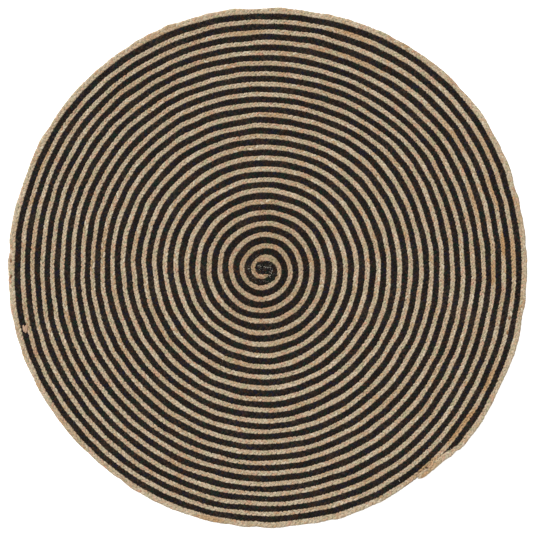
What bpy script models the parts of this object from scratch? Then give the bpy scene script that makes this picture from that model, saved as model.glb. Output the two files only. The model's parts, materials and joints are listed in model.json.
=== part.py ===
"""Round rug of two jute plaits, one natural and one dyed black, coiled side by side.

Each plait is one long strip with a flat underside, straight sides and a crowned top.
The black plait starts as a hairpin in the middle, and both wind outwards clockwise, seen
from above, for 24 turns. The natural plait lies outside the black one all the way, so it
is the rim of the rug, and it ends a little beyond the black plait's end.

Metres, +Z up. The rug lies flat on z = 0, and its middle is over the origin.
Bearings are degrees clockwise from +X, seen from above.
"""

import math
from collections import namedtuple

import bmesh
import bpy

# Driving dimensions
TURNS = 24  # of the black plait
PITCH_CORE = 0.0261  # one black and one natural plait, measured across the coil
PITCH_RIM = 0.0228
BLACK_SHARE = 0.58  # of the pitch
THICKNESS = 0.009
SHOULDER = 0.0055  # height of a plait's straight sides, below its crown
GAP = 0.0005  # between neighbouring plaits, which are sewn edge to edge
BLACK_END = 44.0  # bearing at which the black plait ends
STEPS_PER_TURN = 36

# The hand-wound coil is uneven. Its rings drift towards +X as they grow, and each row
# here is a place where they bulge. A bulge may turn from one bearing to another on its
# way out. It begins at one radius of the coil and has its full height at another.
RIM_RADIUS = 0.6
DRIFT = (0.006, -0.001)
Bulge = namedtuple("Bulge", "core_bearing rim_bearing spread starts full height")
BULGES = (
    Bulge(30, 60, 16, 0.320, 0.630, 0.0130),
    Bulge(75, 98, 21, 0.000, 0.450, 0.0080),
    Bulge(160, 160, 9, 0.270, 0.410, 0.0040),
    Bulge(180, 180, 9, 0.570, 0.610, 0.0040),
    Bulge(188, 224, 20, 0.000, 0.425, 0.0060),
    Bulge(235, 235, 25, 0.015, 0.030, -0.0020),
    Bulge(235, 235, 25, 0.050, 0.075, 0.0020),
    Bulge(240, 250, 24, 0.100, 0.455, 0.0055),
    Bulge(248, 248, 13, 0.565, 0.605, 0.0040),
    Bulge(270, 303, 21, 0.475, 0.605, 0.0125),
    Bulge(297, 327, 14, 0.105, 0.430, 0.0075),
)

# The middle, where the black plait is bent by hand and the coil has no rule: the black
# plait's inner and outer side at every twelfth of a turn from its start, in millimetres
# from the coil's own centre. It is folded round (-4.2, 4.4), and its start lies inside
# the fold. The natural plait's first turn lies against its outer side.
Bend = namedtuple("Bend", "inner_x inner_y outer_x outer_y")
BENDS_PER_TURN = 12
BENDS = (
    Bend(16.8, 3.0, 15.8, -9.9),
    Bend(6.0, 3.6, 4.5, -11.2),
    Bend(-3.0, 3.5, -4.2, -11.4),
    Bend(-4.6, 3.8, -12.6, -9.6),
    Bend(-5.1, 4.2, -17.6, -2.8),
    Bend(-5.2, 4.7, -18.9, 5.4),
    Bend(-4.8, 5.1, -15.2, 15.3),
    Bend(-3.0, 5.3, -5.6, 18.6),
    Bend(5.0, 5.2, 5.2, 19.9),
    Bend(13.4, 5.4, 17.6, 18.5),
    Bend(18.8, 2.2, 29.0, 8.4),
    Bend(18.9, -6.8, 32.4, -8.1),
    Bend(16.2, -14.2, 25.2, -24.0),
    Bend(5.6, -19.6, 9.8, -34.2),
)

# The ends at the rim. The black plait thins out against the turn before it, and the
# natural one closes in over it. Both are made in short steps there.
TAPER_TURNS = 0.016
END_STEPS = 4
BLACK_TIP = 0.4  # width of the end, as a share of the plait's
TIP_HEIGHT = 0.6  # of the thickness, at every end
FREE_EDGE = 0.0035  # how much wider the natural plait is where nothing presses on it
FREE_STEPS = 2  # steps over which it widens, from where the black plait ends

# The natural plait beyond the black one's end: its inner side's distance from the turn
# before, and its width, in millimetres.
Tail = namedtuple("Tail", "bearing apart width")
TAILS = (Tail(47, 1.2, 14.6), Tail(49.5, 0.0, 13.4), Tail(52, 0.0, 9.2))

Section = namedtuple("Section", "inner outer height")


def ease(value, start, full):
    """0 at start, 1 at full, smooth at both."""
    share = min(max((value - start) / (full - start), 0.0), 1.0)
    return share * share * (3 - 2 * share)


def bearing_at(turn):
    return BLACK_END + 360 * (turn - TURNS)


def pitch_at(turn):
    return PITCH_CORE + (PITCH_RIM - PITCH_CORE) * turn / TURNS


def coil_radius(turn):
    """Radius of the black plait's centre line in an even coil."""
    return PITCH_CORE * turn + (PITCH_RIM - PITCH_CORE) * turn**2 / (2 * TURNS)


def bulge_at(radius, bearing):
    """How far the uneven coil reaches beyond an even one."""
    turned = min(radius / RIM_RADIUS, 1.0)
    reach = 0.0
    for bulge in BULGES:
        centre = bulge.core_bearing + (bulge.rim_bearing - bulge.core_bearing) * turned
        aside = (bearing - centre + 180) % 360 - 180
        grown = ease(radius, bulge.starts, bulge.full)
        reach += bulge.height * grown * math.exp(-0.5 * (aside / bulge.spread) ** 2)
    return reach


def chord_share(bearing):
    """Between the main steps, the sides stay straight, as those of the next turn are."""
    step = 360 / STEPS_PER_TURN
    aside = (bearing - BLACK_END) % step - step / 2
    return math.cos(math.radians(step / 2)) / math.cos(math.radians(aside))


def place(radius, bearing):
    """The point of the uneven coil that has this radius in an even one."""
    real = (radius + bulge_at(radius, bearing)) * chord_share(bearing)
    drifted = ease(radius, 0, RIM_RADIUS)
    angle = math.radians(-bearing)
    return (
        real * math.cos(angle) + DRIFT[0] * drifted,
        real * math.sin(angle) + DRIFT[1] * drifted,
    )


def black_edges(turn):
    """The black plait's inner and outer radius in an even coil."""
    half = BLACK_SHARE * pitch_at(turn) / 2
    inner = coil_radius(turn) - half
    if turn > TURNS:
        return inner, inner
    left = 1 - (1 - BLACK_TIP) * ease(turn, TURNS - TAPER_TURNS, TURNS)
    return inner, inner + 2 * half * left


def natural_edges(turn):
    """The same for the natural plait, which fills the space up to the next black turn."""
    inner = black_edges(turn)[1]
    width = coil_radius(turn + 1) - BLACK_SHARE * pitch_at(turn + 1) / 2
    width -= coil_radius(turn) + BLACK_SHARE * pitch_at(turn) / 2
    free = (turn - (TURNS - 1)) * STEPS_PER_TURN / FREE_STEPS
    return inner, inner + width + FREE_EDGE * min(max(free, 0), 1)


def smooth_way(before, start, end, after, share):
    """A point on the smooth curve from start to end, of four points in a row."""
    found = []
    for a, b, c, d in zip(before, start, end, after):
        tangent_b, tangent_c = (c - a) / 2, (d - b) / 2
        found.append(
            b
            + tangent_b * share
            + (3 * (c - b) - 2 * tangent_b - tangent_c) * share**2
            + (2 * (b - c) + tangent_b + tangent_c) * share**3
        )
    return tuple(found)


def black_bend(number):
    """The black plait's inner and outer side at a bend: those past the table are coiled."""
    if number < len(BENDS):
        return tuple(side / 1000 for side in BENDS[max(number, 0)])
    turn = number / BENDS_PER_TURN
    inner, outer = black_edges(turn)
    bearing = bearing_at(turn)
    return (*place(inner, bearing), *place(outer, bearing))


def black_sides(turn):
    """The points on the black plait's inner and outer side."""
    number = round(turn * BENDS_PER_TURN, 6)
    if number < len(BENDS):
        first = math.floor(number)
        bends = [black_bend(first + i) for i in (-1, 0, 1, 2)]
        inner_x, inner_y, outer_x, outer_y = smooth_way(*bends, number - first)
        return (inner_x, inner_y), (outer_x, outer_y)
    inner, outer = black_edges(turn)
    return place(inner, bearing_at(turn)), place(outer, bearing_at(turn))


def natural_sides(turn):
    """The same for the natural plait, which fills the space up to the next black turn."""
    inner = black_sides(turn)[1]
    if turn + 1 < len(BENDS) / BENDS_PER_TURN:
        return inner, black_sides(turn + 1)[0]
    coiled, outer = natural_edges(turn)
    return inner, place(outer, bearing_at(turn))


def plait_section(sides, height=THICKNESS):
    """A section between two sides, with half of the gap left at each."""
    (x1, y1), (x2, y2) = sides
    share = GAP / 2 / math.dist(*sides)
    in_x, in_y = (x2 - x1) * share, (y2 - y1) * share
    return Section((x1 + in_x, y1 + in_y), (x2 - in_x, y2 - in_y), height)


def section_turns():
    """The turns at which both plaits have a section: even steps, then short ones."""
    tapers = TURNS - TAPER_TURNS
    last = math.ceil(tapers * STEPS_PER_TURN)
    even = [i / STEPS_PER_TURN for i in range(last)]
    return even + [tapers + i * TAPER_TURNS / END_STEPS for i in range(END_STEPS)]


def black_sections():
    sections = [plait_section(black_sides(turn)) for turn in section_turns()]
    tip = plait_section(black_sides(TURNS), THICKNESS * TIP_HEIGHT)
    return sections + [tip]


def natural_sections():
    sections = [plait_section(natural_sides(t)) for t in section_turns() + [TURNS]]
    for tail in TAILS:
        turn_before = TURNS - 1 + (tail.bearing - BLACK_END) / 360
        inner = natural_edges(turn_before)[1] + tail.apart / 1000
        outer = inner + tail.width / 1000
        sides = place(inner, tail.bearing), place(outer, tail.bearing)
        height = THICKNESS * (TIP_HEIGHT if tail is TAILS[-1] else 1)
        sections.append(plait_section(sides, height))
    return sections


def section_corners(section):
    """The plait's section, standing on the floor: straight sides under a crown."""
    (x1, y1), (x2, y2) = section.inner, section.outer
    shoulder = SHOULDER * section.height / THICKNESS
    return (
        (x1, y1, 0),
        (x1, y1, shoulder),
        ((x1 + x2) / 2, (y1 + y2) / 2, section.height),
        (x2, y2, shoulder),
        (x2, y2, 0),
    )


def plait(name, sections, material, rug):
    """One plait, lofted through its sections and closed at both ends."""
    shape = bmesh.new()
    rings = []
    for section in sections:
        rings.append([shape.verts.new(corner) for corner in section_corners(section)])
    for ring, following in zip(rings, rings[1:]):
        for i, corner in enumerate(ring):
            shape.faces.new((ring[i - 1], corner, following[i], following[i - 1]))
    shape.faces.new(reversed(rings[0]))
    shape.faces.new(rings[-1])
    bmesh.ops.recalc_face_normals(shape, faces=shape.faces)
    mesh = bpy.data.meshes.new(name)
    shape.to_mesh(mesh)
    shape.free()
    mesh.materials.append(material)
    made = bpy.data.objects.new(name, mesh)
    rug.objects.link(made)
    return made


def new_material(name, colour, roughness):
    material = bpy.data.materials.new(name)
    material.use_nodes = True
    shader = material.node_tree.nodes["Principled BSDF"]
    shader.inputs["Base Color"].default_value = (*colour, 1)
    shader.inputs["Roughness"].default_value = roughness
    shader.inputs["Metallic"].default_value = 0
    material.diffuse_color = (*colour, 1)
    return material


def main():
    for old in list(bpy.data.objects):
        bpy.data.objects.remove(old, do_unlink=True)
    rug = bpy.data.collections.new("round_jute_rug")
    bpy.context.scene.collection.children.link(rug)
    dyed = new_material("jute_dyed_black", (0.012, 0.011, 0.013), 0.9)
    undyed = new_material("jute_natural", (0.58, 0.42, 0.25), 0.85)
    black = plait("black_braid", black_sections(), dyed, rug)
    natural = plait("natural_braid", natural_sections(), undyed, rug)

    # The natural plait is the rim, so its middle is the rug's.
    corners = [tuple(corner) for corner in natural.bound_box]
    middle = [(min(side) + max(side)) / 2 for side in zip(*corners)]
    for made in (black, natural):
        made.location = (-middle[0], -middle[1], 0)


main()
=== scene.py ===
"""Round jute rug: two plaits, one natural and one dyed black, coiled side by side.

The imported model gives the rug's place and size. This script plaits three strands along
each coil, adds the fibres that stand out of them, and sets up a plain stage.

Metres, +Z up. Bearings are degrees clockwise from +X, seen from above.
"""

import json
import math
from collections import namedtuple
from functools import partial

import bmesh
import bpy
import mathutils
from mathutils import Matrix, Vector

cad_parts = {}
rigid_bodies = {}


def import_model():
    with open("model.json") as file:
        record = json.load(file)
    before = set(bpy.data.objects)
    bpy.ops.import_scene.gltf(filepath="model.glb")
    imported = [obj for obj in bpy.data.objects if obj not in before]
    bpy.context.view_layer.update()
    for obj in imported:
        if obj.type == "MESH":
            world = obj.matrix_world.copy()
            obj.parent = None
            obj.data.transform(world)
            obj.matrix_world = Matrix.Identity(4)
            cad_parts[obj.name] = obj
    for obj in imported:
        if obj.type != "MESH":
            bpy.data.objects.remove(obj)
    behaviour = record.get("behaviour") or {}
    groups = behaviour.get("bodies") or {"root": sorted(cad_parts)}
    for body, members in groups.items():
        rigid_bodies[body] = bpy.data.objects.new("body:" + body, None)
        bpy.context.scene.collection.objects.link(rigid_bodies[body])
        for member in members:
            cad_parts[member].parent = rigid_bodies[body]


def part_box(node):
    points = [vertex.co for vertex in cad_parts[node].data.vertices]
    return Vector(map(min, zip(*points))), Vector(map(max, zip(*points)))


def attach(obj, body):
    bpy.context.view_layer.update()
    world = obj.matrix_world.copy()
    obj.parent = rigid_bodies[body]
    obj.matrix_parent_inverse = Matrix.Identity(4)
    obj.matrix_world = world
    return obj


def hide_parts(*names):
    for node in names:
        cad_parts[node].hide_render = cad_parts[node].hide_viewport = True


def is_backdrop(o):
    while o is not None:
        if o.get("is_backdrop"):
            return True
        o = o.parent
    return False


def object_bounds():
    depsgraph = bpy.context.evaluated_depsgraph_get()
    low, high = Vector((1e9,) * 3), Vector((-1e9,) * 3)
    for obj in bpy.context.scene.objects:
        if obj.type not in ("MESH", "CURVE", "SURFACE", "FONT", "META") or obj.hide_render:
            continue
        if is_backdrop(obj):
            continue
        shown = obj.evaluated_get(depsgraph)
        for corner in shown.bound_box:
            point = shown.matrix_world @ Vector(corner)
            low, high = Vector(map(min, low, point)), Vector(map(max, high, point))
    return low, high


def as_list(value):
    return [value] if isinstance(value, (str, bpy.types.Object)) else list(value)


bl_info = {
    "name": "Round jute rug",
    "version": (1, 0, 0),
    "blender": (4, 5, 0),
    "location": "3D View > Sidebar > Jute rug",
    "description": "Plaits and coils a round rug of natural and black jute",
    "category": "Add Mesh",
}

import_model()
CAD_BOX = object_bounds()
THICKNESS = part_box("natural_braid")[1][2]

# The coil, as in the rug's solid model
TURNS = 24  # of the black plait
PITCH_CORE = 0.0261  # one black and one natural plait, measured across the coil
PITCH_RIM = 0.0228
BLACK_SHARE = 0.58  # of the pitch
BLACK_END = 44.0  # bearing at which the black plait ends
COIL_CENTRE = (-0.01027, -0.0046)  # the coil's own centre, from the rug's middle
RIM_RADIUS = 0.6
DRIFT = (0.006, -0.001)  # of the rings, from the core to the rim
Bulge = namedtuple("Bulge", "core_bearing rim_bearing spread starts full height")
BULGES = (
    Bulge(30, 60, 16, 0.320, 0.630, 0.0130),
    Bulge(75, 98, 21, 0.000, 0.450, 0.0080),
    Bulge(160, 160, 9, 0.270, 0.410, 0.0040),
    Bulge(180, 180, 9, 0.570, 0.610, 0.0040),
    Bulge(188, 224, 20, 0.000, 0.425, 0.0060),
    Bulge(235, 235, 25, 0.015, 0.030, -0.0020),
    Bulge(235, 235, 25, 0.050, 0.075, 0.0020),
    Bulge(240, 250, 24, 0.100, 0.455, 0.0055),
    Bulge(248, 248, 13, 0.565, 0.605, 0.0040),
    Bulge(270, 303, 21, 0.475, 0.605, 0.0125),
    Bulge(297, 327, 14, 0.105, 0.430, 0.0075),
)

# The black plait's inner and outer side at every twelfth of a turn in the middle, in
# millimetres from the coil's own centre. Its start is folded in there.
Bend = namedtuple("Bend", "inner_x inner_y outer_x outer_y")
BENDS_PER_TURN = 12
BENDS = (
    Bend(16.8, 3.0, 15.8, -9.9),
    Bend(6.0, 3.6, 4.5, -11.2),
    Bend(-3.0, 3.5, -4.2, -11.4),
    Bend(-4.6, 3.8, -12.6, -9.6),
    Bend(-5.1, 4.2, -17.6, -2.8),
    Bend(-5.2, 4.7, -18.9, 5.4),
    Bend(-4.8, 5.1, -15.2, 15.3),
    Bend(-3.0, 5.3, -5.6, 18.6),
    Bend(5.0, 5.2, 5.2, 19.9),
    Bend(13.4, 5.4, 17.6, 18.5),
    Bend(18.8, 2.2, 29.0, 8.4),
    Bend(18.9, -6.8, 32.4, -8.1),
    Bend(16.2, -14.2, 25.2, -24.0),
    Bend(5.6, -19.6, 9.8, -34.2),
)
START = ((19.8, 2.8), (18.8, -9.7))  # its sides at its very start
CORE_SPREAD = 0.0020  # how much wider it is pressed in the middle
CORE_TURNS = (1.0, 1.4)  # between which that fades
TAPER_TURNS = 0.006  # over which it thins out at its end
TAPER_STEPS = (0.7, 0.35, 0)  # of those turns, where its last sides are
TAPER_TIP = 0.64
FREE_EDGE = 0.0035  # how much wider the natural plait is where nothing presses on it
FREE_TURNS = 0.056

# The plaits beyond the black one's end: the inner side's distance from the turn before,
# the width and the lift off the floor, in millimetres. The natural plait's end is laid
# over the turn before and tucked in.
Tail = namedtuple("Tail", "bearing apart width lift")
BLACK_TAILS = (
    Tail(44.8, 0.0, 6.2, 0.0),
    Tail(45.4, 0.0, 4.6, 0.0),
    Tail(46.0, 0.3, 3.0, 0.0),
)
NATURAL_TAILS = (
    Tail(44.8, 5.8, 12.8, 0.0),
    Tail(45.6, 2.6, 13.3, 0.0),
    Tail(46.4, 0.0, 13.0, 0.0),
    Tail(47.4, -1.6, 13.0, 0.0),
    Tail(48.8, -2.2, 12.9, 0.0),
    Tail(50.2, -2.6, 11.9, 0.3),
    Tail(51.2, -3.8, 12.2, 1.2),
    Tail(52.2, -5.8, 13.6, 2.2),
    Tail(53.0, -6.2, 12.2, 2.0),
    Tail(53.7, -5.8, 8.2, 1.0),
)
RIM_END = (0.385, -0.455)  # from the coil's own centre

# The line that a plait follows. Noise is given as how often a metre it changes and how
# far it reaches, and a pair of distances as where something begins and where it is full
STEPS_PER_TURN = 240
UNEVEN = ((13.0, 0.0019), (29.0, 0.0017))  # how the sides stray
UNEVEN_FROM_CORE = (0.02, 0.06)
UNEVEN_FROM_END = (0.03, 0.12)
RIM_LUMPS = (34.0, 0.0030)  # how the rim's free side swells
LUMPS_FROM_END = (0.06, 0.15)
TURNED_IN = 0.0022  # how far the rim is drawn in where it turns to its end
TURNED_TO_END = (0.07, 0.1)

# A plait's strands. Each of these three changes so many times a metre
PLAIT_STRANDS = 3
PULL_OFTEN = 9.0  # where all the strands are in their swing
OWN_PULL_OFTEN = 31.0  # where one strand is
PLUMP_OFTEN = 75.0  # how thick it is
WANDER = 0.9  # of a period, how far the strands' turns drift
OWN_WANDER = 0.2  # the same for one strand by itself
PLUMPNESS = 0.4  # how much thicker the plumpest of a strand is than the leanest
OWN_SEED = 37.0  # from one strand's noise to the next one's
STRAND_APART = 60.0  # metres, so that no strand repeats another's colours
BLUNT_TIP = 0.06  # of a strand's rounding in, left out at its tip
SEAM_REACH = 1.5  # of half the plait's width, past which its outer side is the same
FREE_SIDE = 0.8  # how much less that is at the rim's free side, where no seam is
LEAST_HEIGHT = 0.0002  # above the floor
SPACE = 10.0  # more than any size here

# Stray fibres
FIBRE_UP = 0.3  # the least that the skin faces upwards where a fibre stands
FIBRE_ABOVE = 0.6  # of the rug's thickness
FIBRE_SIDES = (0.5, 0.9)  # of half the plait's width, between which they gather
FIBRE_LEAN = (1.2, 1.2, 0.06)
FIBRE_STRAY = ((-0.8, -0.8, 0.05), (0.8, 0.8, 0.3))
FIBRES_AT_MIDDLE = 0.3  # of those at the sides
FIBRE_POINTS = 4  # of a stray fibre's mesh
WHOLE_RUG = 1.0  # metres from the coil's centre, past the rim
FLUFF_DENSITY = 70000.0  # in a square metre of skin
FLUFF_AT_MIDDLE = 0.1
FLUFF_THINNESS = 0.6  # of a stray fibre's thickness

# Where a stitch shows: millimetres from the coil's own centre and up, and its heading
Spot = namedtuple("Spot", "x y z heading")
STITCHES = (
    Spot(-11.0, 8.6, 7.8, 15),
    Spot(-6.0, 7.4, 7.8, 160),
    Spot(2.0, 6.4, 7.6, 20),
    Spot(6.0, 5.0, 7.4, 70),
    Spot(9.5, 4.6, 7.4, 110),
    Spot(13.0, 5.0, 7.2, 75),
    Spot(16.5, 4.6, 7.2, 115),
    Spot(20.0, 4.0, 6.7, 60),
    Spot(20.5, -3.0, 7.3, 80),
    Spot(18.5, -8.0, 7.4, 120),
    Spot(15.5, -14.5, 7.8, 40),
    Spot(-33.5, 1.8, 7.9, 20),
    Spot(410.7, -398.5, 8.6, -45),
    Spot(314.8, -488.6, 8.6, -57),
)
TUCKED = (Spot(377.2, -457.9, 9.6, 174),)  # a loop of black yarn in the dark hole where the natural plait's end goes in: painted shade for that hole
# A tuft of natural yarn, worked in over the black plait
WORKED_IN = (
    Spot(-553.8, -136.0, 6.8, 96),
    Spot(-550.6, -139.0, 7.4, 106),
    Spot(-547.4, -136.5, 7.2, 98),
)
# Knots with bark in them
KNOTS = (
    Spot(-583.5, -15.9, 8.0, 80),
    Spot(-583.5, 20.3, 7.2, 95),
    Spot(569.2, -111.8, 8.4, 60),
    Spot(564.1, -146.5, 7.8, 80),
)
# An arch one metre long and high, to be scaled: its ends are sunk into the plait
ARCH = {
    "Resolution": 5,
    "Start": (-0.5, 0, -0.4),
    "Start Handle": (-0.4, 0, 0.5),
    "End Handle": (0.4, 0, 0.5),
    "End": (0.5, 0, -0.4),
}

# The yarn's colours. Noise is given as how often a metre it changes, and a pair as the
# values at which a tint begins and is full
TWIST = 210.0  # of the fibres along a yarn, radians in a metre
STREAKS = (125, 5, 5)  # 8 mm along the yarn and 0.5 mm across
STREAK_DEPTH = 0.0006
TUFTS_OFTEN = 270.0  # 3 to 4 mm
TUFT_DEPTH = 0.0012
STRETCHES_OFTEN = 28.0  # 20 to 60 mm
PLAIT_BATCHES_OFTEN = 4.5  # 150 to 400 mm
STRAND_BATCHES_OFTEN = 9.0
SPECKS_OFTEN = 420.0  # 2 mm
BATCH_AT = (0.46, 0.68)
BATCH_MOST = 0.9
TINT_AT = (0.98, 1.4)
BARK_AT = (0.5, 0.1)
SHADE_AT = (0.3, 0.7)
PALER = 0.6  # of how much darker the dark fibres are, the pale ones are paler
# Where the seams darken: painted shade in the creases between the plaits, with dark fluff
# caught there
SEAM_SIDES = (0.7, 1.2)  # of half the plait's width
SEAM_PART = 0.5  # of the noise that a seam adds to the specks
SEAM_AT = (0.7, 0.9)
TRODDEN = (0.84, 0.78, 0.73)  # what is left of the colour in the very middle, which is darker and browner
TRODDEN_WITHIN = (0.05, 0.19)  # from the coil's centre
MATT = 0.9  # roughness of jute, and of the floor

# Stretches of the natural plait with bark left in, from the coil's own centre
Bark = namedtuple("Bark", "bearing radius length share")
BARKS = (
    Bark(38, 0.5847, 0.150, 0.65),
    Bark(205, 0.5664, 0.140, 0.45),
    Bark(354, 0.5577, 0.080, 0.75),
    Bark(357, 0.5780, 0.150, 0.45),
    Bark(1, 0.5303, 0.070, 0.50),
    Bark(332, 0.5868, 0.140, 0.40),
    Bark(26, 0.5808, 0.085, 0.60),
    Bark(102, 0.5889, 0.085, 0.50),
    Bark(291, 0.5801, 0.140, 0.45),
    Bark(342, 0.5113, 0.150, 0.45),
    Bark(341, 0.5595, 0.120, 0.50),
    Bark(295, 0.5300, 0.120, 0.40),
    Bark(325, 0.5385, 0.140, 0.40),
    Bark(266, 0.5499, 0.120, 0.40),
    Bark(50, 0.5900, 0.085, 0.40),
    Bark(50, 0.6020, 0.085, 0.40),
)
BARK_WIDTH = 0.014

SLOTS = {"natural": "jute_natural", "black": "jute_dyed_black"}

# The flat maps of the pieces' skins
ROW_SHARE = 0.3  # of a strand's map: its rows to its rings
MAP_MARGIN = 0.06  # of a row
CAP_SIZE = 0.2  # radius of a strand's cap, in rows
CAP_APART = (0.4, 1.6)  # the first and the last cap, in rows, from the ring before theirs
MAP_CELLS = 200  # in a row of the fibres' map
CELL_USED = 0.9

# The picture
VIEW_MIDDLE = (0.0007, -0.0011)  # from the rug's middle
IMAGE_SIZE = 536  # pixels, square
PIXEL = 0.0023104  # metres of floor
LENS = 85  # mm
FLOOR_SIZE = 12

# The plaits' settings that geometry nodes take
STRAND_SETTINGS = ("Period", "Strand share", "Flatness", "Rise", "Linger")
STRAND_SETTINGS += ("Usual width", "Spill", "Rounded end")
STRAND_COUNTS = ("Steps", "Sides")
FIBRE_SETTINGS = ("Fibre density", "Fibre shortest", "Fibre longest", "Fibre thickness")

# Kinds of node that are used often
MATHS = "ShaderNodeMath"
VECTORS = "ShaderNodeVectorMath"
NOISE = "ShaderNodeTexNoise"
MIX = "ShaderNodeMix"
RANGE = "ShaderNodeMapRange"  # of a value: from and to, and what these become
JOIN_AXES = "ShaderNodeCombineXYZ"
PART_AXES = "ShaderNodeSeparateXYZ"
RANDOM = "FunctionNodeRandomValue"
COMPARE = "FunctionNodeCompare"
READ = "GeometryNodeInputNamedAttribute"
STORE = "GeometryNodeStoreNamedAttribute"
KNOW = "GeometryNodeCaptureAttribute"
REALIZE = "GeometryNodeRealizeInstances"


def linear(hex_colour):
    """An sRGB hex colour as linear red, green and blue."""
    parts = (int(hex_colour[i : i + 2], 16) / 255 for i in (0, 2, 4))
    return tuple(p / 12.92 if p <= 0.04045 else ((p + 0.055) / 1.055) ** 2.4 for p in parts)


def ease(value, start, full):
    """0 at start, 1 at full, smooth at both."""
    share = min(max((value - start) / (full - start), 0.0), 1.0)
    return share * share * (3 - 2 * share)


def bearing_at(turn):
    return BLACK_END + 360 * (turn - TURNS)


def pitch_at(turn):
    return PITCH_CORE + (PITCH_RIM - PITCH_CORE) * turn / TURNS


def coil_radius(turn):
    """Radius of the black plait's centre line in an even coil."""
    return PITCH_CORE * turn + (PITCH_RIM - PITCH_CORE) * turn**2 / (2 * TURNS)


def bulge_at(radius, bearing):
    """How far the uneven coil reaches beyond an even one."""
    turned = min(radius / RIM_RADIUS, 1.0)
    reach = 0.0
    for bulge in BULGES:
        centre = bulge.core_bearing + (bulge.rim_bearing - bulge.core_bearing) * turned
        aside = (bearing - centre + 180) % 360 - 180
        grown = ease(radius, bulge.starts, bulge.full)
        reach += bulge.height * grown * math.exp(-0.5 * (aside / bulge.spread) ** 2)
    return reach


def place(radius, bearing):
    """The point of the uneven coil that has this radius in an even one."""
    real = radius + bulge_at(radius, bearing)
    drifted = ease(radius, 0, RIM_RADIUS)
    angle = math.radians(-bearing)
    return (
        real * math.cos(angle) + DRIFT[0] * drifted,
        real * math.sin(angle) + DRIFT[1] * drifted,
    )


def freed_at(turn):
    """How free the natural plait's outer side is: 1 where no turn lies beyond it."""
    return min(max((turn - (TURNS - 1)) / FREE_TURNS, 0), 1)


def black_edges(turn):
    """The black plait's inner and outer radius in an even coil."""
    half = BLACK_SHARE * pitch_at(turn) / 2
    inner = coil_radius(turn) - half
    left = 1 - (1 - TAPER_TIP) * ease(turn, TURNS - TAPER_TURNS, TURNS)
    return inner, inner + 2 * half * left


def natural_edges(turn):
    """The same for the natural plait, which fills the space up to the next black turn."""
    inner = black_edges(turn)[1]
    width = coil_radius(turn + 1) - BLACK_SHARE * pitch_at(turn + 1) / 2
    width -= coil_radius(turn) + BLACK_SHARE * pitch_at(turn) / 2
    return inner, inner + width + FREE_EDGE * freed_at(turn)


def smooth_way(before, start, end, after, share):
    """A point on the smooth curve from start to end, of four points in a row."""
    found = []
    for a, b, c, d in zip(before, start, end, after):
        tangent_b, tangent_c = (c - a) / 2, (d - b) / 2
        found.append(
            b
            + tangent_b * share
            + (3 * (c - b) - 2 * tangent_b - tangent_c) * share**2
            + (2 * (b - c) + tangent_b + tangent_c) * share**3
        )
    return tuple(found)


def black_bend(number):
    """The black plait's inner and outer side at a bend: those past the table are coiled."""
    if number < len(BENDS):
        return tuple(side / 1000 for side in BENDS[max(number, 0)])
    turn = number / BENDS_PER_TURN
    inner, outer = black_edges(turn)
    bearing = bearing_at(turn)
    return (*place(inner, bearing), *place(outer, bearing))


def black_sides(turn):
    """The points on the black plait's inner and outer side."""
    number = round(turn * BENDS_PER_TURN, 6)
    if number < len(BENDS):
        first = math.floor(number)
        bends = [black_bend(first + i) for i in (-1, 0, 1, 2)]
        inner_x, inner_y, outer_x, outer_y = smooth_way(*bends, number - first)
        return (inner_x, inner_y), (outer_x, outer_y)
    inner, outer = black_edges(turn)
    return place(inner, bearing_at(turn)), place(outer, bearing_at(turn))


def natural_sides(turn):
    """The same for the natural plait."""
    inner = black_sides(turn)[1]
    if turn + 1 < len(BENDS) / BENDS_PER_TURN:
        return inner, black_sides(turn + 1)[0]
    return inner, place(natural_edges(turn)[1], bearing_at(turn))


def tail_sides(tail):
    turn_before = TURNS - 1 + (tail.bearing - BLACK_END) / 360
    inner = natural_edges(turn_before)[1] + tail.apart / 1000
    outer = inner + tail.width / 1000
    return place(inner, tail.bearing), place(outer, tail.bearing)


def strayed(x, y):
    """A point of a side, moved in or out: two plaits that touch move together."""
    moved = 0.0
    for often, far in UNEVEN:
        moved += far * mathutils.noise.noise((x * often, y * often, often))
    radius = max(math.hypot(x, y), 0.001)
    moved *= ease(radius, *UNEVEN_FROM_CORE) / radius
    moved *= ease(math.dist((x, y), RIM_END), *UNEVEN_FROM_END)
    return x * (1 + moved), y * (1 + moved)


def rim_side(inner, outer, free, spill):
    """The rim's outer side: nothing covers it, so the spill would show there."""
    often, far = RIM_LUMPS
    away = math.dist(outer, RIM_END)
    swollen = far * mathutils.noise.noise((outer[0] * often, outer[1] * often, 0))
    swollen *= ease(away, *LUMPS_FROM_END)
    swollen -= TURNED_IN * (1 - ease(away, *TURNED_TO_END))
    share = free * (spill - swollen) / math.dist(inner, outer)
    return [b + (a - b) * share for a, b in zip(inner, outer)]


def way_of(name, spill):
    """A plait's way from its start to its end: the turn, the sides there, how free the
    outer one is, and the lift."""
    turns = [i / STEPS_PER_TURN for i in range(TURNS * STEPS_PER_TURN)]
    turns += [TURNS - TAPER_TURNS * share for share in TAPER_STEPS]
    black = name == "black"
    if black:
        yield 0, *([x / 1000, y / 1000] for x, y in START), 0, 0
    for turn in turns:
        if black:
            yield turn, *black_sides(turn), 0, 0
        else:
            inner, outer = natural_sides(turn)
            free = freed_at(turn)
            yield turn, inner, rim_side(inner, outer, free, spill), free, 0
    for tail in BLACK_TAILS if black else NATURAL_TAILS:
        yield TURNS, *tail_sides(tail), not black, tail.lift / 1000


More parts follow.
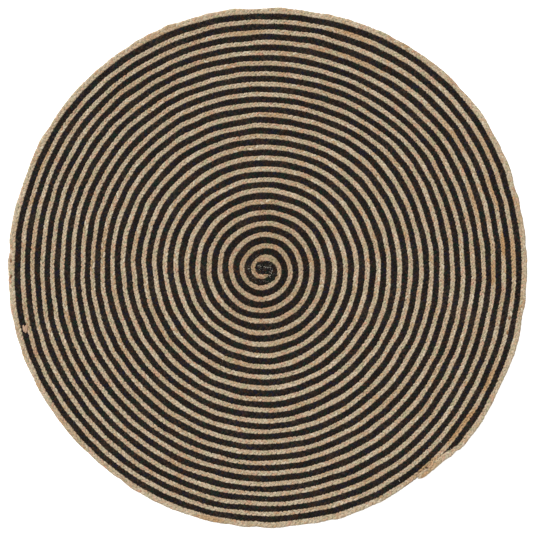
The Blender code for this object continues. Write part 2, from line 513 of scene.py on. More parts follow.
def centre_line(name, spill):
    """A line of points along a plait's middle, each with the plait's width there and how
    free its outer side is."""
    points, widths, frees = [], [], []
    for turn, inner, outer, free, lift in way_of(name, spill):
        (x1, y1), (x2, y2) = strayed(*inner), strayed(*outer)
        x, y = COIL_CENTRE[0] + (x1 + x2) / 2, COIL_CENTRE[1] + (y1 + y2) / 2
        points.append((x, y, THICKNESS / 2 + lift))
        spread = CORE_SPREAD * (1 - ease(turn, *CORE_TURNS)) if name == "black" else 0
        widths.append(math.dist((x1, y1), (x2, y2)) + spread)
        frees.append(float(free))
    links = [(i, i + 1) for i in range(len(points) - 1)]
    return source_of(name + "_line", points, links, {"plait_width": widths, "free_side": frees})


def put(name, data):
    """An object of this data, in the scene."""
    made = bpy.data.objects.new(name, data)
    bpy.context.scene.collection.objects.link(made)
    return made


def source_of(name, points, links, values):
    """A mesh object of points and links, with these values at the points."""
    mesh = bpy.data.meshes.new(name)
    mesh.from_pydata(points, links, [])
    for label, numbers in values.items():
        attribute = mesh.attributes.new(label, "FLOAT", "POINT")
        attribute.data.foreach_set("value", numbers)
    return put(name, mesh)


def plug(node, sockets):
    """Gives each of these sockets, named or in order, a value or a link: a node stands
    for its first output in use."""
    for socket, value in sockets.items() if isinstance(sockets, dict) else enumerate(sockets):
        if isinstance(value, bpy.types.Node):
            value = next(output for output in value.outputs if output.enabled)
        if isinstance(value, bpy.types.NodeSocket):
            node.id_data.links.new(value, node.inputs[socket])
        else:
            node.inputs[socket].default_value = value


def add(tree, kind, sockets=(), operation=None, **settings):
    """A node with its settings, and a value or a link for each of these sockets."""
    node = tree.nodes.new(kind)
    if operation:
        node.operation = operation
    for name, value in settings.items():
        setattr(node, name, value)
    plug(node, sockets)
    return node


def new_tree(name, source, numbers, wholes=()):
    """An empty tree of geometry nodes with these inputs, what adds a node to it, and
    what its inputs give."""
    tree = bpy.data.node_groups.new(name, "GeometryNodeTree")
    for kind, labels in (
        ("Geometry", (source,)),
        ("Float", numbers),
        ("Int", wholes),
        ("Material", ("Material",)),
    ):
        for label in labels:
            tree.interface.new_socket(label, in_out="INPUT", socket_type="NodeSocket" + kind)
    tree.interface.new_socket("Made", in_out="OUTPUT", socket_type="NodeSocketGeometry")
    return tree, partial(add, tree), add(tree, "NodeGroupInput").outputs


def end_tree(node, shape, given):
    """A tree's end: the shape, real and of the given material."""
    real = node(REALIZE, {"Geometry": shape})
    real = {"Geometry": real, "Material": given["Material"]}
    node("NodeGroupOutput", (node("GeometryNodeSetMaterial", real),))


def strand_tree():
    """Geometry nodes that lay one strand of a flat plait along a line.

    The strand swings from side to side once in a period, and goes over the one that it
    meets on its way out and under it on its way back.
    """
    numbers = ("Strand", "Seed", *STRAND_SETTINGS)
    tree, node, given = new_tree("plait_strand", "Line", numbers, STRAND_COUNTS)

    # Points at even steps, that know how far along the line they are, and the plait's
    # middle, width and way across there
    curve = node("GeometryNodeMeshToCurve", {"Mesh": given["Line"]})
    step = node(MATHS, (given["Period"], given["Steps"]), "DIVIDE")
    even = node("GeometryNodeResampleCurve", {"Curve": curve, "Length": step}, mode="LENGTH")
    tangent = node("GeometryNodeInputTangent")
    across = node(VECTORS, (tangent, (0, 0, 1)), "CROSS_PRODUCT")
    known = node(KNOW, {"Geometry": even})
    for kind, label, value in (
        ("FLOAT", "Along", node("GeometryNodeSplineParameter").outputs["Length"]),
        ("FLOAT", "Width", node(READ, {"Name": "plait_width"})),
        ("FLOAT", "Free", node(READ, {"Name": "free_side"})),
        ("VECTOR", "Across", across),
        ("VECTOR", "Middle", node("GeometryNodeInputPosition")),
    ):
        known.capture_items.new(kind, label)
        plug(known, {label: value})
    known = known.outputs
    along, width = known["Along"], known["Width"]

    # Hands pull unevenly, so where the strand is in its turn and how plump it is wander
    seed = given["Seed"]
    own = node(MATHS, (given["Strand"], OWN_SEED, seed), "MULTIPLY_ADD")
    pulls = []
    for often, start in ((PULL_OFTEN, seed), (OWN_PULL_OFTEN, own), (PLUMP_OFTEN, own)):
        spot = node(MATHS, (along, often, start), "MULTIPLY_ADD")
        settings = {"W": spot, "Scale": 1.0, "Detail": 1.0}
        pulls.append(node(NOISE, settings, noise_dimensions="1D"))
    shared, single, plump = pulls
    periods = node(MATHS, (along, given["Period"]), "DIVIDE")
    third = 1 / PLAIT_STRANDS
    for part, most in ((given["Strand"], third), (shared, WANDER), (single, OWN_WANDER)):
        periods = node(MATHS, (part, most, periods), "MULTIPLY_ADD")
    phase = node(MATHS, (periods, math.tau), "MULTIPLY")
    plump = node(MATHS, (plump, PLUMPNESS, 1 - PLUMPNESS / 2), "MULTIPLY_ADD")
    half = given["Strand share"]
    for share in (0.5, width, plump):
        half = node(MATHS, (half, share), "MULTIPLY")

    # It swings out to the plait's side, and the spill beyond it
    reach = node(MATHS, (width, 0.5, given["Spill"]), "MULTIPLY_ADD")
    reach = node(MATHS, (reach, half), "SUBTRACT")
    swing = node(MATHS, (phase,), "SINE")
    inside = node(MATHS, (swing, swing), "MULTIPLY")
    inside = node(MATHS, (1.0, inside), "SUBTRACT")
    inside = node(MATHS, (inside, given["Linger"], 1.0), "MULTIPLY_ADD")
    for share in (inside, reach):
        swing = node(MATHS, (swing, share), "MULTIPLY")
    rise = node(MATHS, (node(MATHS, (phase, 2.0), "MULTIPLY"),), "SINE")
    rise = node(MATHS, (rise, given["Rise"]), "MULTIPLY")
    swing = node(VECTORS, {0: known["Across"], "Scale": swing}, "SCALE")
    rise = node(JOIN_AXES, {"Z": rise})
    moved = node(VECTORS, (swing, rise), "ADD")
    moved = {"Geometry": known["Geometry"], "Offset": moved}
    laid = node("GeometryNodeSetPosition", moved)
    laid = node("GeometryNodeSetCurveNormal", {"Curve": laid}, mode="Z_UP")

    # Its section is a flattened round, drawn in at both of its ends
    whole = node("GeometryNodeSplineLength").outputs["Length"]
    left = node(MATHS, (whole, along), "SUBTRACT")
    for operation, other in (
        ("MINIMUM", along),
        ("DIVIDE", given["Rounded end"]),
        ("ADD", BLUNT_TIP),
        ("MINIMUM", 1.0),
        ("POWER", 0.5),
    ):
        left = node(MATHS, (left, other), operation)
    half = node(MATHS, (half, left), "MULTIPLY")
    sides = {"Resolution": given["Sides"], "Radius": 1.0}
    ring = node("GeometryNodeCurvePrimitiveCircle", sides, mode="RADIUS")
    ring = node(KNOW, {"Geometry": ring})
    ring.capture_items.new("FLOAT", "Around")
    plug(ring, {"Around": node("GeometryNodeSplineParameter").outputs["Factor"]})
    flat = node(JOIN_AXES, (1.0, given["Flatness"], 1.0))
    section = node("GeometryNodeTransform", {"Geometry": ring, "Scale": flat})
    tube = {"Curve": laid, "Profile Curve": section, "Scale": half, "Fill Caps": True}
    tube = node("GeometryNodeCurveToMesh", tube)

    # The yarn's material reads how far along its strand a point is, how far round it,
    # and how far out from the plait's middle, 1 at its side
    here = node("GeometryNodeInputPosition")
    out = node(VECTORS, (here, known["Middle"]), "SUBTRACT")
    out = node(VECTORS, (out, known["Across"]), "DOT_PRODUCT")
    most = node(MATHS, (known["Free"], FREE_SIDE, -SEAM_REACH), "MULTIPLY_ADD")
    for operation, other in (("DIVIDE", width), ("MULTIPLY", 2.0), ("MAXIMUM", most)):
        out = node(MATHS, (out, other), operation)
    far = node(MATHS, (given["Strand"], STRAND_APART, along), "MULTIPLY_ADD")
    yarn = node(JOIN_AXES, (far, ring.outputs["Around"], out))
    tube = {"Geometry": tube, "Name": "yarn", "Value": yarn}
    tube = node(STORE, tube, data_type="FLOAT_VECTOR", domain="POINT")

    # A plait that spreads wider is thinner for it, and none sinks into the floor
    squeeze = node(MATHS, (given["Usual width"], width), "DIVIDE")
    squeeze = node(MATHS, (squeeze, 1.0), "MINIMUM")
    squeeze = node(JOIN_AXES, (1.0, 1.0, squeeze))
    level = (0, 0, THICKNESS / 2)
    pressed = node(VECTORS, (here, level), "SUBTRACT")
    pressed = node(VECTORS, (pressed, squeeze, level), "MULTIPLY_ADD")
    lowest = (-SPACE, -SPACE, LEAST_HEIGHT)
    pressed = node(VECTORS, (pressed, lowest), "MAXIMUM")
    tube = node("GeometryNodeSetPosition", {"Geometry": tube, "Position": pressed})
    smooth = node("GeometryNodeSetShadeSmooth", {"Geometry": tube})
    end_tree(node, smooth, given)
    return tree


def fibre_tree():
    """Geometry nodes that let short fibres stand out of a strand's upper side."""
    numbers = ("Least at the middle", "Within", *FIBRE_SETTINGS)
    tree, node, given = new_tree("stray_fibres", "Strands", numbers, ("Cells in a row", "Seed"))
    seed = given["Seed"]
    here = node("GeometryNodeInputPosition")
    height = node(PART_AXES, (here,)).outputs["Z"]
    near = node(VECTORS, (here, (*COIL_CENTRE, 0)), "DISTANCE")
    up = node(PART_AXES, (node("GeometryNodeInputNormal"),)).outputs["Z"]
    upper = node(COMPARE, (up, FIBRE_UP), "GREATER_THAN")
    for value, operation, limit in (
        (height, "GREATER_THAN", THICKNESS * FIBRE_ABOVE),
        (near, "LESS_THAN", given["Within"]),
    ):
        also = node(COMPARE, (value, limit), operation)
        upper = node("FunctionNodeBooleanMath", (upper, also), "AND")
    side = node(READ, {"Name": "yarn"}, data_type="FLOAT_VECTOR")
    side = node(PART_AXES, (side,)).outputs["Z"]
    side = node(MATHS, (side,), "ABSOLUTE")
    side = node(RANGE, (side, *FIBRE_SIDES, given["Least at the middle"], 1.0))
    density = node(MATHS, (side, given["Fibre density"]), "MULTIPLY")
    roots = {"Mesh": given["Strands"], "Selection": upper, "Density": density, "Seed": seed}
    roots = node("GeometryNodeDistributePointsOnFaces", roots)

    # Each leans outwards and lies nearly flat
    least, most = FIBRE_STRAY
    stray = node(RANDOM, {0: least, 1: most, "Seed": seed}, data_type="FLOAT_VECTOR")
    way = (roots.outputs["Normal"], FIBRE_LEAN, stray)
    way = node(VECTORS, way, "MULTIPLY_ADD")
    turned = node("FunctionNodeAlignRotationToVector", {"Vector": way}, axis="Z")
    length = {2: given["Fibre shortest"], 3: given["Fibre longest"], "Seed": seed}
    length = node(RANDOM, length, data_type="FLOAT")
    size = node(JOIN_AXES, (given["Fibre thickness"], given["Fibre thickness"], length))
    spike = {"Vertices": 3, "Side Segments": 1, "Radius Top": 0.0, "Radius Bottom": 0.5}
    spike = node("GeometryNodeMeshCone", {**spike, "Depth": 1.0})
    on_map = {"data_type": "FLOAT2", "domain": "CORNER"}
    own_map = {"Geometry": spike, "Name": "OFBake", "Value": spike.outputs["UV Map"]}
    spike = node(STORE, own_map, **on_map)
    fibres = {"Points": roots, "Instance": spike, "Rotation": turned, "Scale": size}
    fibres = node("GeometryNodeInstanceOnPoints", fibres)
    fibres = node(KNOW, {"Geometry": fibres}, domain="INSTANCE")
    fibres.capture_items.new("INT", "Number")
    plug(fibres, {"Number": node("GeometryNodeInputIndex")})
    real = node(REALIZE, {"Geometry": fibres})

    # Each has its own cell of the map
    number, in_row = fibres.outputs["Number"], given["Cells in a row"]
    row = node(MATHS, (number, in_row), "DIVIDE")
    row = node(MATHS, (row,), "FLOOR")
    column = node(MATHS, (number, in_row), "MODULO")
    cell = node(JOIN_AXES, (column, row))
    spot = node(READ, {"Name": "OFBake"}, data_type="FLOAT_VECTOR")
    used = (CELL_USED, CELL_USED, 0)
    spot = node(VECTORS, (spot, used, cell), "MULTIPLY_ADD")
    share = node(MATHS, (1.0, in_row), "DIVIDE")
    spot = node(VECTORS, {0: spot, "Scale": share}, "SCALE")
    real = node(STORE, {"Geometry": real, "Name": "OFBake", "Value": spot}, **on_map)
    end_tree(node, real, given)
    return tree


def stitch_tree():
    """Geometry nodes that bend a short stitch of thread over each point."""
    tree, node, given = new_tree("stitches", "Places", ("Thread", "Length", "Height"))
    points = node("GeometryNodeMeshToPoints", {"Mesh": given["Places"]})
    turned = node(JOIN_AXES, {"Z": node(READ, {"Name": "heading"})})
    arch = node("GeometryNodeCurvePrimitiveBezierSegment", ARCH)
    size = node(JOIN_AXES, (given["Length"], given["Length"], given["Height"]))
    arch = node("GeometryNodeTransform", {"Geometry": arch, "Scale": size})
    arches = {"Points": points, "Instance": arch, "Rotation": turned}
    arches = node("GeometryNodeInstanceOnPoints", arches)
    arches = node(REALIZE, {"Geometry": arches})
    sides = {"Resolution": 6, "Radius": 1.0}
    ring = node("GeometryNodeCurvePrimitiveCircle", sides, mode="RADIUS")
    half = node(MATHS, (given["Thread"], 0.5), "MULTIPLY")
    tube = {"Curve": arches, "Profile Curve": ring, "Scale": half, "Fill Caps": True}
    tube = node("GeometryNodeCurveToMesh", tube)
    smooth = node("GeometryNodeSetShadeSmooth", {"Geometry": tube})
    end_tree(node, smooth, given)
    return tree


def made_of(tree, source, name, values):
    """The plain mesh object that a tree makes of the source with these inputs."""
    modifier = source.modifiers.new(tree.name, "NODES")
    modifier.node_group = tree
    for item in tree.interface.items_tree:
        if item.in_out == "INPUT" and item.name in values:
            modifier[item.identifier] = values[item.name]
    bpy.context.view_layer.update()
    graph = bpy.context.evaluated_depsgraph_get()
    mesh = bpy.data.meshes.new_from_object(source.evaluated_get(graph))
    source.modifiers.remove(modifier)
    mesh.name = name
    return put(name, mesh)


def lay_out_map(strand, sides):
    """A map of the strand's skin, cut into rows as wide as they are high in all."""
    mesh = strand.data
    rings = len(mesh.vertices) // sides
    rows = max(round((rings * ROW_SHARE) ** 0.5), 1)
    in_row = math.ceil(rings / rows)
    layer = mesh.uv_layers.new(name="OFBake")
    spots = []
    for face in mesh.polygons:
        corners = [mesh.loops[i].vertex_index for i in face.loop_indices]
        ring = min(corners) // sides
        if max(corners) // sides == ring:
            middle = CAP_APART[ring > 0]
            for corner in corners:
                angle = math.tau * corner / sides
                u = ring % in_row + middle + CAP_SIZE * math.cos(angle)
                v = ring // in_row + 0.5 + CAP_SIZE * math.sin(angle)
                spots += (u / (in_row + 2), v / rows)
            continue
        turns = [corner % sides for corner in corners]
        wraps = max(turns) - min(turns) > 1
        for corner, turn in zip(corners, turns):
            if wraps and turn == 0:
                turn = sides
            u = 1 + ring % in_row + corner // sides - ring
            v = ring // in_row + MAP_MARGIN + (1 - 2 * MAP_MARGIN) * turn / sides
            spots += (u / (in_row + 2), v / rows)
    layer.data.foreach_set("uv", spots)


def settings_of(look, labels):
    """A plait's settings, by the labels that a tree's inputs have."""
    return {label: getattr(look, label.lower().replace(" ", "_")) for label in labels}


def plait(name, look, material, seed):
    """A plait's three strands, shown in place of its node's solid, which is hidden."""
    tree = bpy.data.node_groups.get("plait_strand") or strand_tree()
    line = centre_line(name, look.spill)
    strands = []
    for number in range(PLAIT_STRANDS):
        values = settings_of(look, (*STRAND_SETTINGS, *STRAND_COUNTS))
        values |= {"Strand": float(number), "Seed": seed, "Material": material}
        strands.append(made_of(tree, line, f"{name}_strand_{number + 1}", values))
    bpy.data.objects.remove(line, do_unlink=True)
    for strand in strands:
        lay_out_map(strand, look.sides)
        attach(strand, "root")
        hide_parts(name + "_braid")
    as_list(strands[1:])


def fibres_on(name, label, look, material, seed, others=None):
    """Short fibres that stand out of a plait's strands, most of them at its sides."""
    tree = bpy.data.node_groups.get("stray_fibres") or fibre_tree()
    values = {
        **settings_of(look, FIBRE_SETTINGS),
        "Least at the middle": FIBRES_AT_MIDDLE,
        "Within": WHOLE_RUG,
        "Cells in a row": MAP_CELLS,
        "Seed": seed,
        "Material": material,
        **(others or {}),
    }
    shape = bmesh.new()
    for number in range(PLAIT_STRANDS):
        shape.from_mesh(bpy.data.objects[f"{name}_strand_{number + 1}"].data)
    whole = bpy.data.meshes.new("skin")
    shape.to_mesh(whole)
    shape.free()
    skin = put("skin", whole)
    fibres = made_of(tree, skin, label, values)
    bpy.data.objects.remove(skin, do_unlink=True)
    if len(fibres.data.vertices) > FIBRE_POINTS * MAP_CELLS**2:
        raise ValueError("more fibres than the map has cells")
    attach(fibres, "root")


def stitches(label, places, slot, values):
    """A stitch at each of the places."""
    tree = bpy.data.node_groups.get("stitches") or stitch_tree()
    points = [
        (COIL_CENTRE[0] + spot.x / 1000, COIL_CENTRE[1] + spot.y / 1000, spot.z / 1000)
        for spot in places
    ]
    headings = [math.radians(spot.heading) for spot in places]
    source = source_of("stitch_places", points, [], {"heading": headings})
    made = made_of(tree, source, label, values)
    bpy.data.objects.remove(source, do_unlink=True)
    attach(made, "root")


def new_material(name):
    """A material, what adds a node to it, and its shader."""
    material = bpy.data.materials.new(name)
    material.use_nodes = True
    tree = material.node_tree
    return material, partial(add, tree), tree.nodes["Principled BSDF"]


def plain_material(name, colour, roughness, glow=0.0):
    """A material of one colour."""
    material, _, shader = new_material(name)
    plug(shader, {"Base Color": (*colour, 1), "Roughness": roughness})
    plug(shader, {"Emission Color": (1, 1, 1, 1), "Emission Strength": glow})
    return material


def fibre_streaks(node, yarn):
    """How light the fibres are that wind along a yarn."""
    turned = node(MATHS, (yarn["X"], TWIST), "MULTIPLY")
    turned = node(MATHS, (yarn["Y"], math.tau, turned), "MULTIPLY_ADD")
    aside = node(MATHS, (turned,), "COSINE")
    above = node(MATHS, (turned,), "SINE")
    spot = node(JOIN_AXES, (yarn["X"], aside, above))
    spot = node(VECTORS, (spot, STREAKS), "MULTIPLY")
    return node(NOISE, {"Vector": spot, "Scale": 1.0, "Detail": 3.0})


def batches_and_tints(node, look, tints, yarn, tufts):
    """The plait's colour, which drifts as one batch of yarn follows another, and in a
    batch as one carded sliver follows another."""
    strand = node(MATHS, (yarn["X"], STRAND_APART), "FLOORED_MODULO")
    shares = []
    for far, often, tint in (
        (strand, PLAIT_BATCHES_OFTEN, look.dark_batch),
        (yarn["X"], STRAND_BATCHES_OFTEN, look.pale_batch),
    ):
        settings = {"W": far, "Scale": often, "Detail": 3.0, "Roughness": 0.65}
        batch = node(NOISE, settings, noise_dimensions="1D")
        shares.append((batch, BATCH_AT, BATCH_MOST, tint))
    settings = {"W": yarn["X"], "Scale": STRETCHES_OFTEN, "Detail": 2.0}
    stretches = node(NOISE, settings, noise_dimensions="1D").outputs["Color"]
    stretches = node(PART_AXES, (stretches,)).outputs
    tufts = node(PART_AXES, (tufts.outputs["Color"],)).outputs
    for axis, (tint, most) in zip("XYZ", tints):
        both = node(MATHS, (stretches[axis], tufts[axis]), "ADD")
        shares.append((both, TINT_AT, most, tint))
    colour = (*look.colour, 1)
    for value, limits, most, tint in shares:
        share = node(RANGE, (value, *limits, 0.0, most))
        colour = node(MIX, {0: share, 6: colour, 7: (*tint, 1)}, data_type="RGBA")
    return colour


def bark_stretches(node, colour, bark_colour, here, tufts):
    """The colour, with bark left in where the table says."""
    for bark in BARKS:
        turned = math.radians(-bark.bearing)
        aside = (bark.radius * math.cos(turned), bark.radius * math.sin(turned), 0)
        spot = {
            "Vector": here,
            "Location": mathutils.Vector(aside) + mathutils.Vector((*COIL_CENTRE, 0)),
            "Rotation": (0, 0, turned),
            "Scale": (BARK_WIDTH / 2, bark.length / 2, 1),
        }
        spot = node("ShaderNodeMapping", spot, vector_type="TEXTURE")
        spot = node(VECTORS, (spot, (1, 1, 0)), "MULTIPLY")
        spot = node(VECTORS, (spot,), "LENGTH")
        spot = node(MATHS, (spot, tufts), "SUBTRACT")
        share = node(RANGE, (spot, *BARK_AT, 0.0, bark.share))
        colour = node(MIX, {0: share, 6: colour, 7: (*bark_colour, 1)}, data_type="RGBA")
    return colour


def yarn_material(name, look, tints, bark_colour=None):
    """Jute yarn, spun from long coarse fibres and not polished.

    To the eye it is matt and hairy: a straw or dyed colour, which drifts along the
    plait, with light and dark fibres that wind round each strand. A fibre is 0.05 mm
    thick, too fine to show, so its streaks are drawn 0.5 mm wide.
    """
    material, node, shader = new_material(name)
    yarn = node("ShaderNodeAttribute", attribute_name="yarn").outputs["Vector"]
    yarn = node(PART_AXES, (yarn,)).outputs
    here = node("ShaderNodeTexCoord").outputs["Object"]
    tufts = node(NOISE, {"Vector": here, "Scale": TUFTS_OFTEN, "Detail": 2.0})
    colour = batches_and_tints(node, look, tints, yarn, tufts)
    if bark_colour:
        colour = bark_stretches(node, colour, bark_colour, here, tufts)

    # The colour darkens and browns towards the coil's middle
    far = node(VECTORS, (here, (*COIL_CENTRE, 0)), "DISTANCE")
    clean = node(RANGE, (far, *TRODDEN_WITHIN))
    worn = {0: clean, 6: (*TRODDEN, 1), 7: (1, 1, 1, 1)}
    shades = [node(MIX, worn, data_type="RGBA")]
    # Light and dark fibres, and light and dark tufts
    streaks = fibre_streaks(node, yarn)
    for value, depth in ((streaks, look.streaks), (tufts, look.mottle)):
        shades.append(node(RANGE, (value, *SHADE_AT, 1 - depth, 1 + depth * PALER)))
    for shade in shades:
        both = {0: 1.0, 6: colour, 7: shade}
        colour = node(MIX, both, data_type="RGBA", blend_type="MULTIPLY")

    # Specks, and the seams' colour: partly painted shade in the creases where the plaits meet,
    # partly dark fluff caught there
    specks = node(NOISE, {"Vector": here, "Scale": SPECKS_OFTEN, "Detail": 1.0})
    side = node(MATHS, (yarn["Z"],), "ABSOLUTE")
    side = node(RANGE, (side, *SEAM_SIDES, 0.0, SEAM_PART))
    seam = node(MATHS, (side, specks), "ADD")
    seam = node(RANGE, (seam, *SEAM_AT, 0.0, look.seam_share))
    colour = node(MIX, {0: seam, 6: colour, 7: (*look.seam_colour, 1)}, data_type="RGBA")

    relief = {"Height": streaks, "Strength": 0.7, "Distance": STREAK_DEPTH}
    relief = node("ShaderNodeBump", relief)
    relief = {"Height": tufts, "Normal": relief, "Strength": 0.6, "Distance": TUFT_DEPTH}
    relief = node("ShaderNodeBump", relief)
    finish = {"Roughness": MATT, "Specular IOR Level": 0.15}
    plug(shader, {"Base Color": colour, "Normal": relief, **finish})
    return material


def measure(subtype, name, description, default):
    return bpy.props.FloatProperty(
        name=name, description=description, default=default, subtype=subtype
    )


metres = partial(measure, "DISTANCE")
factor = partial(measure, "FACTOR")
amount = partial(measure, "NONE")


def degrees(name, description, default):
    return measure("ANGLE", name, description, math.radians(default))


def count(name, description, default):
    return bpy.props.IntProperty(name=name, description=description, default=default)


def paint(name, description, hex_colour):
    return bpy.props.FloatVectorProperty(
        name=name, description=description, default=linear(hex_colour), size=3, subtype="COLOR"
    )


# The settings that both plaits have
PLAIT_SETTINGS = {
    "period": (metres, "Length over which a strand swings out and back"),
    "steps": (count, "Sections in a period"),
    "sides": (count, "Sides of a strand's section"),
    "strand_share": (factor, "A strand's width as a share of the plait's"),
    "flatness": (factor, "A strand's height as a share of its width"),
    "rise": (metres, "How far a strand rises and falls as it passes the others"),
    "linger": (factor, "How much longer than in an even swing it stays at a side"),
    "usual_width": (metres, "The plait's width along most of the coil"),
    "spill": (metres, "How far each side bulges into the next plait's"),
    "rounded_end": (metres, "Length over which a strand's ends draw in"),
    "flat_area": (amount, "Floor that the plait covers, in square metres"),
    # The seam colour is partly painted shade in the creases between the plaits, partly dark
    # fluff
    "seam_colour": (paint, "Colour of the fluff that gathers at the seams"),
    "seam_share": (factor, "How much of the seam the fluff covers"),
    "streaks": (factor, "How dark the darkest fibres are"),
    "mottle": (factor, "How dark the darkest tufts are"),
    "fibre_density": (amount, "Stray fibres in a square metre of the skin"),
    "fibre_shortest": (metres, "Length of the shortest stray fibre"),
    "fibre_longest": (metres, "Length of the longest stray fibre"),
    "fibre_thickness": (metres, "Thickness of a stray wisp's root"),
}


def plait_settings(**values):
    """These settings with a plait's own values."""
    found = {}
    for name, value in values.items():
        kind, description = PLAIT_SETTINGS[name]
        found[name] = kind(name.replace("_", " ").capitalize(), description, value)
    return found


class NaturalPlait(bpy.types.PropertyGroup):
    """The natural plait's strands, their colours and their stray fibres."""

    __annotations__ = plait_settings(
        period=0.0335,
        steps=8,
        sides=6,
        strand_share=0.68,
        flatness=0.90,
        rise=0.0011,
        linger=1.1,
        usual_width=0.0101,
        spill=0.0018,
        rounded_end=0.005,
        flat_area=0.465,
        seam_colour="3A281C",
        seam_share=0.85,
        streaks=0.36,
        mottle=0.41,
        fibre_density=19000.0,
        fibre_shortest=0.0025,
        fibre_longest=0.007,
        fibre_thickness=0.0005,
    )
    colour: paint("Straw", "Colour of most of the yarn", "AFA088")
    dark_batch: paint("Dark batch", "Colour of the browner lengths of the plait", "9E8466")
    pale_batch: paint("Pale batch", "Colour of the greyer, paler lengths", "C4B8A1")
    orange_brown: paint("Orange-brown", "Colour of stretches with bark left in", "A37949")
    pink: paint("Pink", "Colour of the warmer stretches", "B1816A")
    grey_green: paint("Grey-green", "Colour of the greener stretches", "94926F")


class BlackPlait(bpy.types.PropertyGroup):
    """The black plait's strands, their colours and their stray fibres."""

    __annotations__ = plait_settings(
        period=0.0237,
        steps=7,
        sides=5,
        strand_share=0.57,
        flatness=0.75,
        rise=0.0014,
        linger=0.0,
        usual_width=0.0136,
        spill=0.0026,
        rounded_end=0.005,
        flat_area=0.626,
        seam_colour="2A2420",
        seam_share=0.6,
        streaks=0.4,
        mottle=0.4,
        fibre_density=36000.0,
        fibre_shortest=0.0025,
        fibre_longest=0.007,
        fibre_thickness=0.0010,
    )
    colour: paint("Black", "Colour of most of the yarn", "170F08")
    dark_batch: paint("Dark batch", "Colour of the darkest lengths of the plait", "0F0B08")
    pale_batch: paint("Faded batch", "Colour of the faded lengths of the plait", "352A21")
    brown: paint("Brown", "Colour of stretches where the dye is thin", "3A1E0C")
    navy: paint("Navy", "Colour of the bluer stretches", "111128")
    green: paint("Green", "Colour of the greener stretches", "0A2418")
    fluff: paint("Fluff", "Colour of the undyed fluff in the middle", "847E74")
    fluff_within: metres("Fluff within", "How far the fluff reaches from the centre", 0.034)


class Sewing(bpy.types.PropertyGroup):
    """The sewing thread where it shows, the yarn worked in, and the knots."""

    thread: metres("Thread", "Thickness of the thread", 0.0010)
    stitch_length: metres("Stitch length", "Length of a stitch", 0.004)
    stitch_height: metres("Stitch height", "How high a stitch arches", 0.0016)
    colour: paint("Thread colour", "Colour of the thread", "A09A8E")
    # The black yarn in the hole at the natural plait's end is painted shade for that hole
    tuck_thickness: metres("Tucked yarn", "Thickness of the black yarn tucked in", 0.0026)
    worked_in_thickness: metres("Worked-in yarn", "Thickness of the yarn worked in", 0.0050)
    worked_in_length: metres("Worked-in length", "Length of it that shows", 0.012)
    worked_in: paint("Worked-in colour", "Colour of the yarn worked in", "A0836C")
    knot_thickness: metres("Knot thickness", "Thickness of the yarn in a knot", 0.0038)
    knot_length: metres("Knot length", "Length of a knot", 0.006)
    bark: paint("Bark", "Colour of the knots", "6E4A2A")


class Studio(bpy.types.PropertyGroup):
    """The floor and the light."""

    floor: paint("Floor", "Colour of the floor", "F6F6F6")
    glow: amount("Glow", "Light that the floor gives by itself", 0.35)
    even_light: amount("Even light", "Strength of the light all round", 0.8)
    lamp: amount("Lamp", "Strength of the soft lamp", 3.2)
    lamp_spread: degrees("Lamp spread", "How wide the soft lamp looks from the rug", 35)
    lamp_tilt: degrees("Lamp tilt", "How far from straight above the soft lamp hangs", 42)
    lamp_heading: degrees("Lamp heading", "Where it hangs, anticlockwise from the right", 135)


class RUG_OT_natural_plait(bpy.types.Operator):
    """Plait and coil the three natural strands"""

    bl_idname = "rug.natural_plait"
    bl_label = "Natural plait"

    def execute(self, context):
        look = context.scene.rug_natural
        # Each tint with the most of it that shows
        tints = ((look.orange_brown, 0.8), (look.pink, 0.9), (look.grey_green, 0.95))
        material = yarn_material("undyed_jute_yarn", look, tints, look.orange_brown)
        plait("natural", look, material, seed=3.0)
        fibres_on("natural", "natural_stray_fibres", look, material, seed=5)
        return {"FINISHED"}


class RUG_OT_black_plait(bpy.types.Operator):
    """Plait and coil the three black strands"""

    bl_idname = "rug.black_plait"
    bl_label = "Black plait"

    def execute(self, context):
        look = context.scene.rug_black
        # Each tint with the most of it that shows
        tints = ((look.brown, 0.8), (look.navy, 0.9), (look.green, 0.9))
        material = yarn_material("black_dyed_jute_yarn", look, tints)
        plait("black", look, material, seed=11.0)
        fibres_on("black", "black_stray_fibres", look, material, seed=8)

        # Loose undyed jute is rubbed into the black where the coil starts: greyish and
        # matt, it takes the shine and some of the depth off the black
        material = plain_material("jute_fluff", look.fluff, MATT)
        others = {
            "Fibre density": FLUFF_DENSITY,
            "Least at the middle": FLUFF_AT_MIDDLE,
            "Within": look.fluff_within,
            "Fibre thickness": look.fibre_thickness * FLUFF_THINNESS,
        }
        fibres_on("black", "core_fluff", look, material, seed=21, others=others)
        return {"FINISHED"}


class RUG_OT_stitches(bpy.types.Operator):
    """Sew the stitches that show, work in the loose yarn and tie the knots"""

    bl_idname = "rug.stitches"
    bl_label = "Stitches"

    def execute(self, context):
        look = context.scene.rug_sewing
        # Spun cotton: off-white and matt, a little smoother than jute
        cotton = plain_material("cotton_thread", look.colour, roughness=0.8)
        # Undyed jute of a pinker batch, matt and darker than the plait
        pink = plain_material("pink_jute_yarn", look.worked_in, MATT)
        # Bark left on the fibre, which shows as a dark brown, matt fleck
        bark = plain_material("jute_bark", look.bark, MATT)
        black = bpy.data.materials["black_dyed_jute_yarn"]
        short, long = look.stitch_length, look.worked_in_length
        for label, places, slot, thickness, length, material in (
            ("stitches", STITCHES, "natural", look.thread, short, cotton),
            # The black loop is painted shade for the dark hole at the natural plait's end
            ("tucked_yarn", TUCKED, "black", look.tuck_thickness, short, black),
            ("worked_in_yarn", WORKED_IN, "natural", look.worked_in_thickness, long, pink),
            ("knots", KNOTS, "natural", look.knot_thickness, look.knot_length, bark),
        ):
            values = {"Thread": thickness, "Length": length, "Material": material}
            values["Height"] = look.stitch_height
            stitches(label, places, SLOTS[slot], values)
        return {"FINISHED"}


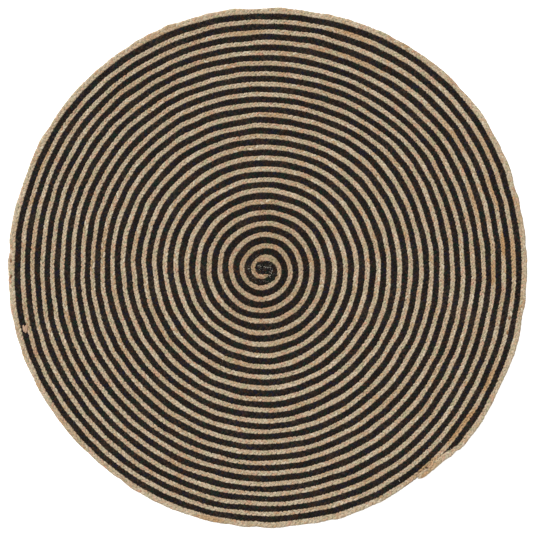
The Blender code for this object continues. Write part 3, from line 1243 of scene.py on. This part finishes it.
class RUG_OT_stage(bpy.types.Operator):
    """Make the floor, the light and the camera"""

    bl_idname = "rug.stage"
    bl_label = "Stage"

    def execute(self, context):
        look = context.scene.rug_studio
        scene = context.scene
        bpy.ops.mesh.primitive_plane_add(size=FLOOR_SIZE)
        floor = context.object
        floor.name = "floor"
        # White acrylic lit from below: matt and even, so that the shadows stay soft
        white = plain_material("white_lit_acrylic", look.floor, MATT, look.glow)
        floor.data.materials.append(white)
        floor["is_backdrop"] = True

        world = bpy.data.worlds.new("even_light")
        world.use_nodes = True
        light = {"Color": (1, 1, 1, 1), "Strength": look.even_light}
        plug(world.node_tree.nodes["Background"], light)
        scene.world = world

        lamp = bpy.data.lights.new("soft_lamp", "SUN")
        lamp.energy = look.lamp
        lamp.angle = look.lamp_spread
        put("soft_lamp", lamp).rotation_euler = (0, look.lamp_tilt, look.lamp_heading)

        lens = bpy.data.cameras.new("camera")
        lens.lens = LENS
        distance = IMAGE_SIZE * PIXEL * LENS / lens.sensor_width
        scene.camera = put("camera", lens)
        scene.camera.location = (*VIEW_MIDDLE, distance + THICKNESS)
        scene.view_settings.view_transform = "Standard"
        return {"FINISHED"}


class RUG_PT_panel(bpy.types.Panel):
    """The rug's steps, in order"""

    bl_label = "Round jute rug"
    bl_idname = "RUG_PT_panel"
    bl_space_type = "VIEW_3D"
    bl_region_type = "UI"
    bl_category = "Jute rug"

    def draw(self, context):
        for step in STEPS:
            self.layout.operator(step.bl_idname)
        for group in SETTINGS:
            box = self.layout.box()
            settings = getattr(context.scene, group)
            for name in settings.bl_rna.properties.keys():
                if name not in ("rna_type", "name"):
                    box.prop(settings, name)


STEPS = (RUG_OT_natural_plait, RUG_OT_black_plait, RUG_OT_stitches, RUG_OT_stage)
SETTINGS = {
    "rug_natural": NaturalPlait,
    "rug_black": BlackPlait,
    "rug_sewing": Sewing,
    "rug_studio": Studio,
}


def register():
    for item in (*SETTINGS.values(), *STEPS, RUG_PT_panel):
        bpy.utils.register_class(item)
    for name, group in SETTINGS.items():
        setattr(bpy.types.Scene, name, bpy.props.PointerProperty(type=group))


def unregister():
    for name in SETTINGS:
        delattr(bpy.types.Scene, name)
    for item in reversed((*SETTINGS.values(), *STEPS, RUG_PT_panel)):
        bpy.utils.unregister_class(item)


def main():
    register()
    bpy.ops.rug.natural_plait()
    bpy.ops.rug.black_plait()
    bpy.ops.rug.stitches()
    bpy.ops.rug.stage()
    boxes = {"cad": CAD_BOX, "visual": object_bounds()}
    {k: [list(map(float, c)) for c in v] for k, v in boxes.items()}


if __name__ == "__main__":
    main()
